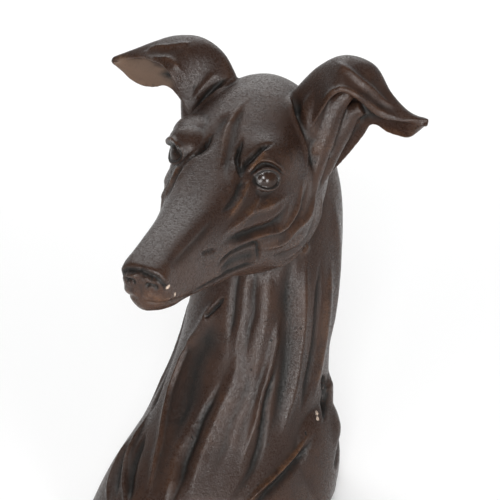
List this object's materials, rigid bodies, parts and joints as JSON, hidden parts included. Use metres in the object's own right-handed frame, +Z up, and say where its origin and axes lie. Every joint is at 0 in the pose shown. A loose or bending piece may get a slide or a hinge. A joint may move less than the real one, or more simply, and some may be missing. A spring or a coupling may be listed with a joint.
{
  "type": "greyhound bust",
  "caption": "Head and neck of a greyhound with folded ears, cast in resin with a dark brown patinated finish and cut flat below to stand.",
  "frame": {"origin": "middle of the bust's box on its flat underside", "axes": "+Z up; the chest faces -Y and the dog's left is +X"},
  "size_m": [0.2072, 0.2416, 0.326],
  "materials": {
    "patinated_resin": "satin, rubbed brown on the ridges and dark in the hollows"
  },
  "bodies": {
    "root": {"greyhound_bust": "patinated_resin"}
  },
  "joints": []
}
